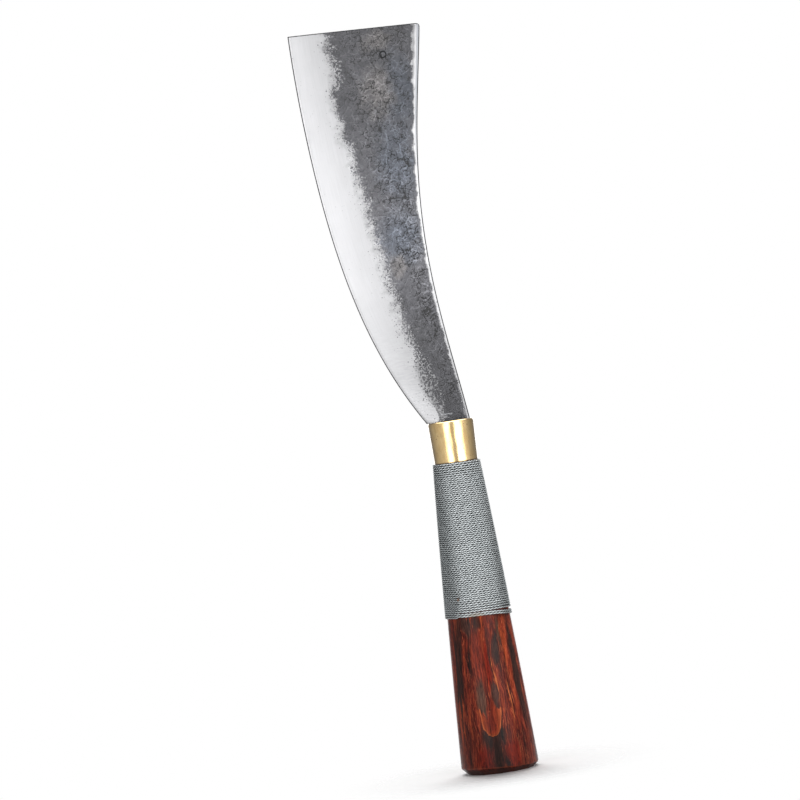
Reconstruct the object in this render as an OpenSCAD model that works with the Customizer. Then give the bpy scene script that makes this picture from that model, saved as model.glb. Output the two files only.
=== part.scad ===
// Curved chopper: a forged sweeping blade, tanged into a tapered wooden handle
// with a brass ferrule and a twine-bound grip.
// Millimetres. The handle's axis is Z, up from the middle of the butt face.
// The cutting edge faces -X, the spine faces +X, and the blade's flats face -Y and +Y.

/* [Blade] */
// Height of the blade above the mouth of the ferrule
blade_height = 229.5; // [200:0.5:260]
// Reach of the cutting edge from the axis, at five even heights that pull its curve, heel first
edge_pull = [13.6, 49.2, 54.2, 60.7, 60.6]; // [10:0.1:80]
// Reach of the spine from the axis, at five even heights that pull its curve, heel first
spine_pull = [11.2, 4.8, -9.9, 6.8, 15]; // [-15:0.1:30]
// Width of the ground bevel, at four even heights that pull its line, heel first
bevel_pull = [8.7, 36.6, 24, 20]; // [6:0.1:40]
// Thickness of the spine where it leaves the ferrule
spine_thick_heel = 5.6; // [5.4:0.1:7]
// Thickness of the spine at the tip
spine_thick_tip = 3.6; // [2.6:0.1:5]
// Share of the spine's thickness that is left where the bevel starts
bevel_root_share = 0.84; // [0.8:0.01:0.95]
// Swell of the convex bevel over a flat one
bevel_swell = 0.12; // [0.05:0.01:0.2]
// Height over which the bevel's toe rounds off above the heel
bevel_toe_h = 3.6; // [2:0.1:8]
// Share of the bevel's width that is left at the foot of its toe
bevel_toe_share = 0.55; // [0.5:0.05:1]
// Width of the honed strip along the cutting edge
honed_w = 0.9; // [0.4:0.1:1.5]
// Thickness behind the honed strip
honed_thick = 0.9; // [0.5:0.1:1.2]
// Thickness left at the cutting edge itself
edge_land = 0.2; // [0.1:0.05:0.4]
// Width of the chamfer ground along the spine, at four even heights that pull its line, heel first
spine_chamfer_pull = [1.7, 1.9, 2.4, 4]; // [1:0.1:5]
// Depth of the spine's chamfer, on each side
spine_chamfer_depth = 0.8; // [0.2:0.05:1.1]
// Share of the spine chamfer's width that its steep outer part takes
spine_chamfer_break = 0.35; // [0.2:0.05:0.6]
// How much lower the tip's end is at the spine than at the cutting edge
tip_fall = 2.8; // [0:0.1:8]
// Radius of the corner between the tip's end and the spine
tip_corner_r = 2.2; // [1:0.1:3]

/* [Ring mark] */
// Outer diameter of the plain ring struck into the front flat
ring_d = 4; // [3:0.1:8]
// Width of the ring's groove
ring_groove_w = 0.7; // [0.3:0.1:1.2]
// Depth of the ring's groove
ring_groove_depth = 0.25; // [0.1:0.05:0.5]
// Height of the ring below the tip corner of the cutting edge
ring_below_tip = 17.3; // [10:0.1:60]
// Distance of the ring from the axis, towards the cutting edge
ring_offset = 8.5; // [0:0.1:30]

/* [Tang] */
// Height of the tang's end above the butt face
tang_end_z = 106; // [70:1:140]
// Drop from the ferrule's mouth to where the tang's long taper starts
tang_shoulder_drop = 7; // [4:0.5:12]
// Reach of the tang from the axis at the mouth, towards the cutting edge and towards the spine
tang_mouth = [6.8, 10.4]; // [5:0.1:10.6]
// Reach of the tang from the axis at the start of its long taper, towards either side
tang_neck = [6.4, 8.4]; // [5:0.1:8.6]
// Width of the tang's end
tang_end_w = 6.4; // [4:0.1:10]
// Thickness of the tang at the mouth
tang_thick = 4.4; // [3:0.1:4.4]
// Thickness of the tang's end
tang_end_thick = 2.8; // [2:0.1:4]

/* [Handle] */
// Height of the shoulder that the ferrule sits on
shoulder_z = 177.3; // [160:0.1:185]
// Radius of the handle at the ferrule's shoulder
shoulder_r = 12.5; // [12.4:0.1:14]
// Radius of the handle just above the butt's chamfer
butt_r = 22.1; // [19:0.1:25]
// Swell of the handle's side over a straight taper
belly = 0.54; // [0:0.01:1.5]
// Height of the butt's chamfer
chamfer_h = 4.8; // [2:0.1:8]
// Width of the butt's chamfer, measured inward
chamfer_w = 4.2; // [2:0.1:7]
// Number of knife cuts round the butt's chamfer
chamfer_cuts = 13; // [10:1:18]
// Unevenness of the knife cuts
cut_unevenness = 0.45; // [0:0.05:0.6]
// Clearance burnt out round the tang, which the bedding fills
bedding_gap = 0.8; // [0.5:0.1:1.2]
// Spare depth of the slot below the tang's end
slot_spare = 3; // [1:0.5:8]

/* [Ferrule] */
// Length of the ferrule
ferrule_h = 23.7; // [20:0.1:30]
// Outer radius of the ferrule at its lower edge
ferrule_r_low = 12.4; // [12:0.05:12.4]
// Outer radius of the ferrule at its mouth
ferrule_r_mouth = 13.05; // [12.8:0.05:13.5]
// Wall of the ferrule
ferrule_wall = 1.15; // [1:0.05:1.4]
// Rounding of the mouth's outer edge, across the wall
mouth_round_w = 0.95; // [0.3:0.05:0.95]
// Rounding of the mouth's outer edge, down the side
mouth_round_h = 1.6; // [0.3:0.05:2.5]
// Height of the handle's neck inside the ferrule
neck_h = 18.5; // [14:0.1:19.5]
// How far the bedding stops below the mouth
bedding_sink = 0.7; // [0.2:0.1:2]

/* [Winding] */
// Height of the winding's lower end above the butt face
winding_z = 89.2; // [85:0.1:95]
// Number of turns modelled, each as wide as three turns of the twine
winding_turns = 24; // [20:1:24]
// Width of each turn modelled, along the handle
turn_w = 3.05; // [2:0.05:3.1]
// Thickness of the twine off the wood
turn_thick = 1; // [0.8:0.05:1.4]
// Width of the eased edges of each turn
turn_ease = 0.35; // [0.1:0.05:0.5]

/* [Hidden] */

mouth_z = shoulder_z + ferrule_h;
neck_top_z = shoulder_z + neck_h;
bedding_top_z = mouth_z - bedding_sink;
tang_neck_z = mouth_z - tang_shoulder_drop;
blade_stations = 56;
toe_steps = 5;
corner_steps = 5;
bevel_steps = 4;
flat_steps = 3;
side_steps = 24;
turn_rings = 24;
wood_clear = 0.04;
tang_ease = 1.2;
cut_block = [40, 30, 20];
end_clear = 0.15;
round_fn = 96;

// Curves that several pieces share

function blend(a, b, u) = a + (b - a) * u;

function factorial(n) = n < 2 ? 1 : n * factorial(n - 1);

// Value at share u of the smooth curve that a list of evenly spaced values pulls
function pulled(values, u) =
    let (
        n = len(values) - 1,
        weights = [for (k = [0 : n])
            factorial(n) / (factorial(k) * factorial(n - k)) * pow(1 - u, n - k) * pow(u, k)]
    )
    values * weights;

// Radius of the handle's side: a straight taper with a slight belly
function wood_r(z) =
    let (u = (z - chamfer_h) / (shoulder_z - chamfer_h))
    blend(butt_r, shoulder_r, u) + 4 * belly * u * (1 - u);

// Bore of the flared ferrule, which the neck and the bedding fill
function bore_r(z) =
    blend(ferrule_r_low, ferrule_r_mouth, (z - shoulder_z) / ferrule_h) - ferrule_wall;

// Share of its width that the bevel has at share u: its toe is a quarter of an ellipse
function toe_share(u) =
    let (short = max(0, 1 - u * blade_height / bevel_toe_h))
    blend(bevel_toe_share, 1, sqrt(1 - short * short));

// Lines of the blade at share u of its height

function edge_x(u) = -pulled(edge_pull, u);
function spine_x(u) = pulled(spine_pull, u);
function bevel_root_x(u) = edge_x(u) + pulled(bevel_pull, u) * toe_share(u);
function chamfer_x(u) = spine_x(u) - pulled(spine_chamfer_pull, u);
function spine_half(u) = blend(spine_thick_heel, spine_thick_tip, u) / 2;

// Half thickness of the flat between the bevel and the spine's chamfer
function flat_half(x, u) =
    let (across = (x - bevel_root_x(u)) / (chamfer_x(u) - bevel_root_x(u)))
    spine_half(u) * blend(bevel_root_share, 1, across);

// Half thickness of the convex bevel, f being 0 at the honed strip and 1 at the flat
function bevel_half(f, u) =
    blend(honed_thick / 2, flat_half(bevel_root_x(u), u), f) + bevel_swell * sin(180 * f);

// How far the rounded corner of the tip draws the spine in
function corner_draw(u) =
    let (rise = max(0, tip_corner_r - (1 - u) * blade_height))
    tip_corner_r - sqrt(pow(tip_corner_r, 2) - pow(rise, 2));

// Half of a blade section as [x, half thickness] pairs, cutting edge first
function blade_half_section(u) =
    let (
        honed_x = edge_x(u) + honed_w,
        draw = corner_draw(u),
        chamfer_w = spine_x(u) - chamfer_x(u)
    )
    concat(
        [[edge_x(u), edge_land / 2], [honed_x, honed_thick / 2]],
        [for (k = [1 : bevel_steps]) let (f = k / bevel_steps)
            [blend(honed_x, bevel_root_x(u), f), bevel_half(f, u)]],
        [for (k = [1 : flat_steps]) let (x = blend(bevel_root_x(u), chamfer_x(u), k / flat_steps))
            [x - draw * k / flat_steps, flat_half(x, u)]],
        [[spine_x(u) - draw - spine_chamfer_break * chamfer_w, spine_half(u) - 0.5 * spine_chamfer_depth]],
        [[spine_x(u) - draw, spine_half(u) - spine_chamfer_depth]]
    );

// Half of a tang section with as many points, its corners eased
function tang_half_section(reach_edge, reach_spine, half) =
    let (inner = bevel_steps + flat_steps + 1)
    concat(
        [[-reach_edge, half / 2]],
        [for (k = [0 : inner]) [blend(tang_ease - reach_edge, reach_spine - tang_ease, k / inner), half]],
        [[reach_spine, half / 2]]
    );

// Whole section from its half: along the front, then back along the rear.
// Its plane passes through height z at the axis and rises by lean per millimetre of x.
function whole_section(half, z, lean) =
    let (last = len(half) - 1)
    concat(
        [for (p = half) [p[0], -p[1], z + lean * p[0]]],
        [for (k = [last : -1 : 0]) [half[k][0], half[k][1], z + lean * half[k][0]]]
    );

// The sections lean more and more towards the line of the tip's end
function blade_section(u) =
    let (lean = -tip_fall / (spine_x(1) - edge_x(1)) * pow(u, 3))
    whole_section(blade_half_section(u), mouth_z + blade_height * u + lean * -edge_x(1), lean);

// Heights, reaches and half thickness of the tang, from its end up to the mouth
tang_stations = [
    [tang_end_z, tang_end_w / 2, tang_end_w / 2],
    [tang_neck_z, tang_neck[0], tang_neck[1]],
    [mouth_z, tang_mouth[0], tang_mouth[1]]
];

function tang_half_thick(z) =
    blend(tang_end_thick, tang_thick, (z - tang_end_z) / (mouth_z - tang_end_z)) / 2;

tang_sections = [for (s = tang_stations)
    whole_section(tang_half_section(s[1], s[2], tang_half_thick(s[0])), s[0], 0)];

// Solid through sections of equal length, closed flat at both ends
module loft(sections) {
    sides = len(sections[0]);
    points = [for (section = sections) each section];
    walls = [for (r = [0 : len(sections) - 2], k = [0 : sides - 1])
        let (a = r * sides + k, b = r * sides + (k + 1) % sides)
        each [[a, a + sides, b], [b, a + sides, b + sides]]];
    low_end = [for (k = [1 : sides - 2]) [0, k, k + 1]];
    top = len(points) - sides;
    high_end = [for (k = [1 : sides - 2]) [top, top + k + 1, top + k]];
    polyhedron(points, concat(walls, low_end, high_end));
}

// Slot burnt out round the tang, open at the top of the neck
module tang_slot() {
    gap = bedding_gap;
    end_z = tang_end_z - slot_spare;
    top_z = neck_top_z + 1;
    intersection() {
        rotate([90, 0, 0])
            linear_extrude(height = 40, center = true)
                polygon([
                    [-tang_end_w / 2 - gap, end_z],
                    [-tang_neck[0] - gap, tang_neck_z],
                    [-tang_mouth[0] - gap, mouth_z],
                    [tang_mouth[1] + gap, mouth_z],
                    [tang_neck[1] + gap, tang_neck_z],
                    [tang_end_w / 2 + gap, end_z]
                ]);
        rotate([90, 0, 90])
            linear_extrude(height = 60, center = true)
                polygon([
                    [-tang_half_thick(end_z) - gap, end_z],
                    [-tang_half_thick(top_z) - gap, top_z],
                    [tang_half_thick(top_z) + gap, top_z],
                    [tang_half_thick(end_z) + gap, end_z]
                ]);
    }
}

// One forging: the tang, the shoulder at the mouth and the blade
module blade() {
    above_toe = bevel_toe_h / blade_height;
    below_corner = 1 - tip_corner_r / blade_height;
    shares = concat(
        [for (k = [0 : toe_steps]) above_toe * (1 - cos(90 * k / toe_steps))],
        [for (k = [1 : blade_stations]) blend(above_toe, below_corner, k / blade_stations)],
        [for (k = [1 : corner_steps]) blend(below_corner, 1, sin(90 * k / corner_steps))]
    );
    color("dimgray")
        difference() {
            loft(concat(tang_sections, [for (u = shares) blade_section(u)]));
            ring_mark();
        }
}

// Plain ring struck into the front flat near the tip
module ring_mark() {
    share = 1 - ring_below_tip / blade_height;
    floor_y = ring_groove_depth - flat_half(-ring_offset, share);
    translate([-ring_offset, floor_y, mouth_z + share * blade_height])
        rotate([90, 0, 0])
            difference() {
                cylinder(h = 3, d = ring_d, $fn = 48);
                translate([0, 0, -1])
                    cylinder(h = 5, d = ring_d - 2 * ring_groove_w, $fn = 48);
            }
}

// Flared tube with a rounded mouth, pressed over the neck onto the handle's shoulder
module ferrule() {
    color("goldenrod")
        rotate_extrude($fn = round_fn)
            polygon(concat(
                [[bore_r(shoulder_z), shoulder_z], [ferrule_r_low, shoulder_z]],
                [for (a = [0 : 15 : 90]) [
                    ferrule_r_mouth - mouth_round_w * (1 - cos(a)),
                    mouth_z - mouth_round_h * (1 - sin(a))
                ]],
                [[bore_r(mouth_z), mouth_z]]
            ));
}

// Turned taper with a neck for the ferrule, a slot for the tang and a knife-cut butt
module handle() {
    side = [for (k = [0 : side_steps])
        let (z = blend(chamfer_h, shoulder_z, k / side_steps)) [wood_r(z), z]];
    color("sienna")
        difference() {
            rotate_extrude($fn = round_fn)
                polygon(concat(
                    [[0, 0], [butt_r - chamfer_w + 1, 0]],
                    side,
                    [
                        [bore_r(shoulder_z), shoulder_z],
                        [bore_r(neck_top_z), neck_top_z],
                        [0, neck_top_z]
                    ]
                ));
            tang_slot();
            butt_cuts();
        }
}

// Flat knife cuts of slightly uneven depth that chamfer the butt's edge
module butt_cuts() {
    for (k = [0 : chamfer_cuts - 1]) {
        depth = cut_unevenness * (1 + sin(137 * k)) / 2;
        rotate([0, 0, 360 * k / chamfer_cuts])
            translate([butt_r - chamfer_w - depth, 0, 0])
                rotate([0, -atan(chamfer_h / chamfer_w), 0])
                    translate([-cut_block[0] / 4, -cut_block[1] / 2, -cut_block[2]])
                        cube(cut_block);
    }
}

// Set resin round the tang, and across the mouth of the ferrule above the neck
module tang_bedding() {
    color("saddlebrown")
        difference() {
            union() {
                tang_slot();
                rotate_extrude($fn = round_fn)
                    polygon([
                        [0, neck_top_z],
                        [bore_r(neck_top_z), neck_top_z],
                        [bore_r(bedding_top_z), bedding_top_z],
                        [0, bedding_top_z]
                    ]);
            }
            loft(tang_sections);
        }
}

// The winding climbs at a steady rate on the bellied taper

low_turn_z = winding_z + turn_w / 2;
high_turn_z = shoulder_z - turn_w / 2 - end_clear;
winding_steps = winding_turns * turn_rings;

// Centre of the twine: each straight stretch between two rings just clears the wood
function winding_centre(u) =
    let (
        z = blend(low_turn_z, high_turn_z, u),
        a = 360 * winding_turns * u,
        r = wood_r(z) / cos(180 / turn_rings) + wood_clear + turn_thick / 2
    )
    [r * cos(a), r * sin(a), z];

function winding_run(u) =
    let (d = winding_centre(u + 0.0001) - winding_centre(u - 0.0001))
    d / norm(d);

// Six-sided section of a turn, broad on the wood, moved along its run by ahead
function winding_ring(u, ahead = 0) =
    let (
        centre = winding_centre(u),
        run = winding_run(u),
        taper = (wood_r(centre[2] + 1) - wood_r(centre[2] - 1)) / 2,
        spoke = [centre[0], centre[1], 0] / norm([centre[0], centre[1]]),
        off_wood = cross(run, taper * spoke + [0, 0, 1]),
        out = off_wood / norm(off_wood),
        along = cross(out, run),
        w = turn_w / 2,
        t = turn_thick / 2,
        e = w - turn_ease
    )
    [for (p = [[-w, 0], [-e, -t], [e, -t], [w, 0], [e, t], [-e, t]])
        centre + run * ahead + along * p[0] + out * p[1]];

winding_rings = concat(
    [winding_ring(0, -turn_w)],
    [for (k = [0 : winding_steps]) winding_ring(k / winding_steps)],
    [winding_ring(1, turn_w)]
);

// Least distance between the points of each turn and those of the next
function least_gap(rings) = min([
    for (k = [0 : len(rings) - 1 - turn_rings], near = [-1 : 1])
        let (other = k + turn_rings + near)
        if (other < len(rings))
            min([for (p = rings[k], q = rings[other]) norm(p - q)])
]);

// One unbroken flat-laid tube round the upper half of the handle, its ends run out straight
module grip_winding() {
    echo(str("least gap between turns: ", least_gap(winding_rings), " mm"));
    color("slategray") loft(winding_rings);
}

blade();
ferrule();
handle();
grip_winding();
tang_bedding();
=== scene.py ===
import math
import random

import bmesh
import bpy
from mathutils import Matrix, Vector, noise


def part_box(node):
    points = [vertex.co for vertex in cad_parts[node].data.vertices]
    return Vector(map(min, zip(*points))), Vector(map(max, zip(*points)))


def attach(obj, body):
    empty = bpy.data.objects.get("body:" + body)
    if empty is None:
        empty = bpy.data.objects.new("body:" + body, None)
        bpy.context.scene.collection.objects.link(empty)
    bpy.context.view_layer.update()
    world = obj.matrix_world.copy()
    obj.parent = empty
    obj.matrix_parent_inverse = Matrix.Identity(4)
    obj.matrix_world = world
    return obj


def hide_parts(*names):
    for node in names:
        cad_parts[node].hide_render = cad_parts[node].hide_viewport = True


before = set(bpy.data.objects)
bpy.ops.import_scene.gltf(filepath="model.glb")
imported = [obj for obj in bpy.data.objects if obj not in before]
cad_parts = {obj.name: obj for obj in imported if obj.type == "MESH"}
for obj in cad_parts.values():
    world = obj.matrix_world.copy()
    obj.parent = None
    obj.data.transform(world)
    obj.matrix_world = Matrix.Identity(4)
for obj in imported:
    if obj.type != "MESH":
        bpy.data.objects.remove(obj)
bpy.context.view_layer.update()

# Everything is worked out in millimetres and brought to metres when a piece is finished
MM = 0.001

# Heights that the pieces share, from the frame
SHOULDER_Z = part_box("ferrule")[0].z / MM
MOUTH_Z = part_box("ferrule")[1].z / MM
TIP_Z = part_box("blade")[1].z / MM
TANG_END_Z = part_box("blade")[0].z / MM

# Blade
BLADE_HEIGHT = TIP_Z - MOUTH_Z
EDGE_PULL = (13.6, 49.2, 54.2, 60.7, 60.6)
SPINE_PULL = (11.2, 4.8, -9.9, 6.8, 15.0)
BEVEL_PULL = (8.7, 36.6, 24.0, 20.0)
SPINE_HALF = (2.8, 1.8)
BEVEL_ROOT_SHARE = 0.84
BEVEL_SWELL = 0.12
BEVEL_TOE_H = 3.6
BEVEL_TOE_SHARE = 0.55
HONED_W = 0.9
HONED_HALF = 0.45
EDGE_HALF = 0.1
SPINE_CHAMFER_PULL = (1.7, 1.9, 2.4, 4.0)
SPINE_CHAMFER_DEPTH = 0.8
SPINE_CHAMFER_BREAK = 0.35
CHAMFER_TURN_R = 2.6
TIP_FALL = 2.8
TIP_CORNER_R = 2.2
TIP_EASE = 0.15
SPINE_EASE = 0.45
# Rim note that the blade has at the ferrule's mouth, which sets the painted shade of the dark line where it
# goes in
SEAT_RIM = 0.45
RING_X = -8.3
RING_Z = TIP_Z - 17.8
RING_R = 1.75
RING_GROOVE_HALF = 0.55
RING_DEPTH = 0.25
RING_FINER = 1.4
RING_CUTS = 4

# Forged skin of the blade: its dents as the width of a cell and the depth, and the area that they cover
BROAD_DENTS = (5.2, 0.1)
SMALL_DENTS = (2.9, 0.06)
SPINE_DENTS = 2.0
HAMMERED_X = (-90, 40)
HAMMERED_Z = (190, 445)
SKIN_PROUD = 0.06
SKIN_WAVE = 0.07
SKIN_WAVES_PER_MM = 0.07

# How much crisper the scale ends at the spine's chamfer than at the bevel, and how far dents bend that line
SPINE_SHARPNESS = 5
SPINE_RAGGED = 8
LEAST_RAGGED_SHARE = 0.4
NARROW_CHAMFER = 1.3
MIDDLE_DENT = 0.17

# Rows of corners in the blade's sheet, and the notes that each corner carries for the finish
FACE_ROWS = 104
EASE_ROWS = 3
HALF_ROWS = FACE_ROWS + EASE_ROWS + 3
BLADE_RINGS = 338
END_RINGS = 8
BLADE_NOTES = ("worn", "from_edge", "to_spine", "spine_share", "rim")
FULLY_GROUND = 20
TANG_NOTES = (-FULLY_GROUND, 10, 5, 1, 10)

# Tang and the slot that it is bedded in
TANG_END = (3.2, 3.2, 1.4)
TANG_NECK = (6.4, 8.4, 2.15)
TANG_MOUTH = (6.8, 10.4, 2.2)
TANG_NECK_Z = MOUTH_Z - 7
TANG_EASE = 1.2
TANG_EDGE_SHARE = 0.4
SLOT_GAP = 0.8
SLOT_END_Z = TANG_END_Z - 3

# Handle and ferrule
CHAMFER_H = 4.8
CHAMFER_START_R = 17.9
CHAMFER_CUTS = 13
CUT_HEIGHTS = (4.4, 3.0)
CUT_STARTS = (17.9, 18.9)
CUT_UNEVENNESS = 0.45
CUT_EASE = 0.25
SHAVED_OFF = 0.1
SHAVED_UNEVEN = 0.12
HANDLE_STEPS = 200
BUTT_R = 22.1
SHOULDER_R = 12.5
BELLY = 0.54
NECK_TOP_Z = SHOULDER_Z + 18.5
FERRULE_R = (12.4, 13.05)
FERRULE_WALL = 1.15
FERRULE_LIP = 0.18
FERRULE_DRAWN_IN = 0.03
FERRULE_UNEVEN = 0.05
FERRULE_ROWS = 24
FERRULE_STEPS = 144
MOUTH_ROUND_W = 0.95
MOUTH_ROUND_H = 1.6
MOUTH_ROWS = 8

# Winding
STRAND_R = 0.29
STRAND_OUT = 0.34
STRAND_SIDES = 6
TWINE_R = STRAND_OUT + STRAND_R
TWINE_LAY = 7.0
TWINE_STEP = 0.55
TWINE_BITE = 0.04
FERRULE_BITE = 0.03
TURNS = 74.4
TURN_PITCH = 1.165
LAST_TURN_AT = math.radians(-42)
TAIL_AT = math.radians(-32.5)
TURN_UNEVEN_OUT = 0.02
TURN_UNEVEN_DOWN = 0.04

# Slipped turns: the angles in degrees over which they leave their height and come back to it, and how far
LOW_FROM, LOW_TO = (-55, -25), (130, 250)
RIGHT_FROM, RIGHT_TO = (10, 90), (100, 200)
SLIP_LOW = 0.8
SLIP_RIGHT = 0.3
SLIP_TURNS = 2.5
LAST_SLIP = 1.25

# Tail of the twine: the hump of the turns over it, the bend into it, and its melted end
TAIL_TOP_Z = 100.9
TAIL_RUN_Z = (91, 100)
TAIL_HUMP = 0.5
TAIL_HUMP_W = 1.3
TAIL_BEND = 1.2
BEND_OUT = 0.45
BEND_SIZE = 0.8
BEND_STEPS = 5
TAIL_OUT = 0.4
TAIL_END_OUT = 1.3
TAIL_SIZES = (0.75, 1.15)
TAIL_STEPS = 23


def blend(a, b, u):
    return a + (b - a) * u


def limited(value, low, high):
    return max(low, min(high, value))


def smooth(value, start, end):
    """0 before the start, 1 past the end, and a smooth rise between them."""
    share = limited((value - start) / (end - start), 0, 1)
    return share * share * (3 - 2 * share)


def pulled(values, u):
    """Value at share u of the smooth curve that a list of evenly spaced values pulls."""
    n = len(values) - 1
    return sum(v * math.comb(n, k) * (1 - u) ** (n - k) * u ** k for k, v in enumerate(values))


def soft_min(a, b, ease):
    """The smaller of two values, with the corner between them rounded over."""
    share = limited(0.5 + 0.5 * (b - a) / ease, 0, 1)
    return blend(b, a, share) - ease * share * (1 - share)


def wood_r(z):
    """Radius of the handle's side: a straight taper with a slight belly."""
    u = (z - CHAMFER_H) / (SHOULDER_Z - CHAMFER_H)
    return blend(BUTT_R, SHOULDER_R, u) + 4 * BELLY * u * (1 - u)


def bore_r(z):
    return blend(*FERRULE_R, (z - SHOULDER_Z) / (MOUTH_Z - SHOULDER_Z)) - FERRULE_WALL


def colour(red, green, blue):
    """A colour given as it shows on a screen, in values up to 255, as the light that it is."""
    def light(value):
        value /= 255
        return value / 12.92 if value <= 0.04045 else ((value + 0.055) / 1.055) ** 2.4

    return (light(red), light(green), light(blue), 1.0)


def grey(value):
    return (value, value, value, 1.0)


# Tools for the finishes and the light

class Wiring:
    """A tree of nodes, with short ways to add nodes and to join them."""

    def __init__(self, tree):
        self.tree = tree

    def node(self, kind, inputs, **settings):
        """Adds a node. Each input is given by its name or number, and is a value or another socket."""
        made = self.tree.nodes.new("ShaderNode" + kind)
        for name, value in settings.items():
            setattr(made, name, value)
        for socket, value in inputs.items():
            self.give(made.inputs[socket], value)
        return made

    def give(self, socket, value):
        if isinstance(value, bpy.types.NodeSocket):
            self.tree.links.new(value, socket)
        else:
            socket.default_value = value

    def math(self, operation, *values):
        return self.node("Math", dict(enumerate(values)), operation=operation).outputs[0]

    def plus(self, a, b):
        return self.math("ADD", a, b)

    def less(self, a, b):
        return self.math("SUBTRACT", a, b)

    def times(self, a, b):
        return self.math("MULTIPLY", a, b)

    def times_plus(self, a, b, c):
        """a times b, plus c."""
        return self.math("MULTIPLY_ADD", a, b, c)

    def either(self, *values):
        """The largest of some values."""
        largest = values[0]
        for value in values[1:]:
            largest = self.math("MAXIMUM", largest, value)
        return largest

    def vector(self, operation, *values):
        made = self.node("VectorMath", dict(enumerate(values)), operation=operation)
        return made.outputs["Value" if operation == "LENGTH" else "Vector"]

    def eased(self, value, start, end, low=0.0, high=1.0):
        """Runs smoothly from low to high while the value runs from start to end."""
        inputs = {"Value": value, "From Min": start, "From Max": end, "To Min": low, "To Max": high}
        return self.node("MapRange", inputs, interpolation_type="SMOOTHSTEP").outputs[0]

    def close_to(self, value, middle, start, end, most=1):
        """The most up to start away from a middle, and 0 from end away on."""
        return self.eased(self.math("ABSOLUTE", self.less(value, middle)), start, end, most, 0)

    def ramp(self, value, *stops):
        made = self.node("ValToRGB", {0: value})
        band = made.color_ramp.elements
        for index, (at, shade) in enumerate(stops):
            stop = band[index] if index < 2 else band.new(at)
            stop.position = at
            stop.color = shade
        return made.outputs[0]

    def grey_ramp(self, value, *stops):
        """A ramp of factors."""
        return self.ramp(value, *((at, grey(factor)) for at, factor in stops))

    def mixed(self, share, first, second, way="MIX"):
        inputs = {0: share, 6: first, 7: second}
        return self.node("Mix", inputs, data_type="RGBA", blend_type=way).outputs[2]

    def shaded(self, tone, factor):
        """A colour made lighter or darker by a factor."""
        return self.mixed(1.0, tone, factor, "MULTIPLY")


class Finish(Wiring):
    """One procedural material. Its place is in millimetres."""

    def __init__(self, name):
        self.material = bpy.data.materials.new(name)
        self.material.use_nodes = True
        super().__init__(self.material.node_tree)
        self.shader = self.tree.nodes["Principled BSDF"]
        self.place = self.scaled(self.node("TexCoord", {}).outputs["Object"], 1 / MM, 1 / MM, 1 / MM)

    def scaled(self, where, x, y, z):
        return self.vector("MULTIPLY", where, (x, y, z))

    def attribute(self, name):
        return self.node("Attribute", {}, attribute_name=name).outputs["Fac"]

    def parts(self, where):
        return self.node("SeparateXYZ", {0: where}).outputs[:3]

    def point(self, x, y, z):
        return self.node("CombineXYZ", {0: x, 1: y, 2: z}).outputs[0]

    def noise(self, where, scale, detail=2.0, roughness=0.5, output="Fac"):
        inputs = {"Vector": where, "Scale": scale, "Detail": detail, "Roughness": roughness}
        return self.node("TexNoise", inputs).outputs[output]

    def waver(self, where, scale, **settings):
        """Noise about zero."""
        return self.less(self.noise(where, scale, **settings), 0.5)

    def cells(self, where, scale, feature="F1", output="Distance"):
        inputs = {"Vector": where, "Scale": scale}
        return self.node("TexVoronoi", inputs, feature=feature).outputs[output]

    def spots(self, where, scale, start, end):
        """Round spots, one in the middle of each cell."""
        return self.eased(self.cells(where, scale), start, end, 1, 0)

    def seams(self, where, scale, start, end):
        """Lines where the cells meet."""
        return self.eased(self.cells(where, scale, "DISTANCE_TO_EDGE"), start, end, 1, 0)

    def some_of(self, marks, scale, start, end, detail=2.0):
        """Marks that are left here and there only."""
        return self.times(marks, self.eased(self.noise(self.place, scale, detail), start, end))

    def shaken(self, where, scale, reach):
        """The place, moved about by up to reach millimetres, which bends the lines of a pattern."""
        push = self.vector("SUBTRACT", self.noise(where, scale, output="Color"), (0.5, 0.5, 0.5))
        return self.vector("MULTIPLY_ADD", push, (2 * reach, 2 * reach, 2 * reach), where)

    def off_middle(self, where, middle, reach, lean=0):
        """How far a place is from a middle, as a share of an oval's reach. The oval leans towards x."""
        moved = self.vector("SUBTRACT", where, middle)
        if lean:
            inputs = {"Vector": moved, "Rotation": (0, math.radians(-lean), 0)}
            moved = self.node("Mapping", inputs).outputs[0]
        return self.vector("LENGTH", self.vector("DIVIDE", moved, reach))

    def patch(self, where, middle, reach, soft=0.3, lean=0):
        """1 in an oval patch, fading out round its edge."""
        return self.eased(self.off_middle(where, middle, reach, lean), 1 - soft, 1 + soft, 1, 0)

    def bump(self, height, distance, under=None):
        """Relief in millimetres of height times distance, on top of the relief under it."""
        inputs = {"Distance": distance * MM, "Height": height}
        if under is not None:
            inputs["Normal"] = under
        return self.node("Bump", inputs).outputs[0]

    def done(self, **inputs):
        """Gives the shader its inputs. Their names have an underscore for each space."""
        for name, value in inputs.items():
            self.give(self.shader.inputs[name.replace("_", " ")], value)
        return self.material


# Forged steel

SEAT_LINE_Z = MOUTH_Z + 4
SEAT_LINE_X = -1.7
FACETS_PER_MM = 0.16
# Ovals on the front, as middle and reach
TORN_PATCH = ((-7.9, -2, 224), (5.6, 4, 15))
SPARK_PATCH = ((-36.2, -2, 411), (4.6, 4, 17))
BLUE_PATCHES = (((-1, -2, 392), (8, 3, 19)), ((-9, -2, 352), (11, 3, 22)), ((-13, -2, 308), (12, 3, 14)))
WARM_PATCHES = (((-14.6, -2, 392), (9, 3, 13)), ((-11.5, -2, 421), (7, 3, 5)), ((-17, -2, 292), (4, 3, 6)))
BLUISH_GREY = (87, 94, 105)
WARM_GREY = (136, 133, 133)
# Changes of wear between two heights, from and to
WEAR_BY_HEIGHT = ((350, 372, 0, -1.3), (388, 404, 0, 3.7), (204, 218, 2.2, 0))


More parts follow.
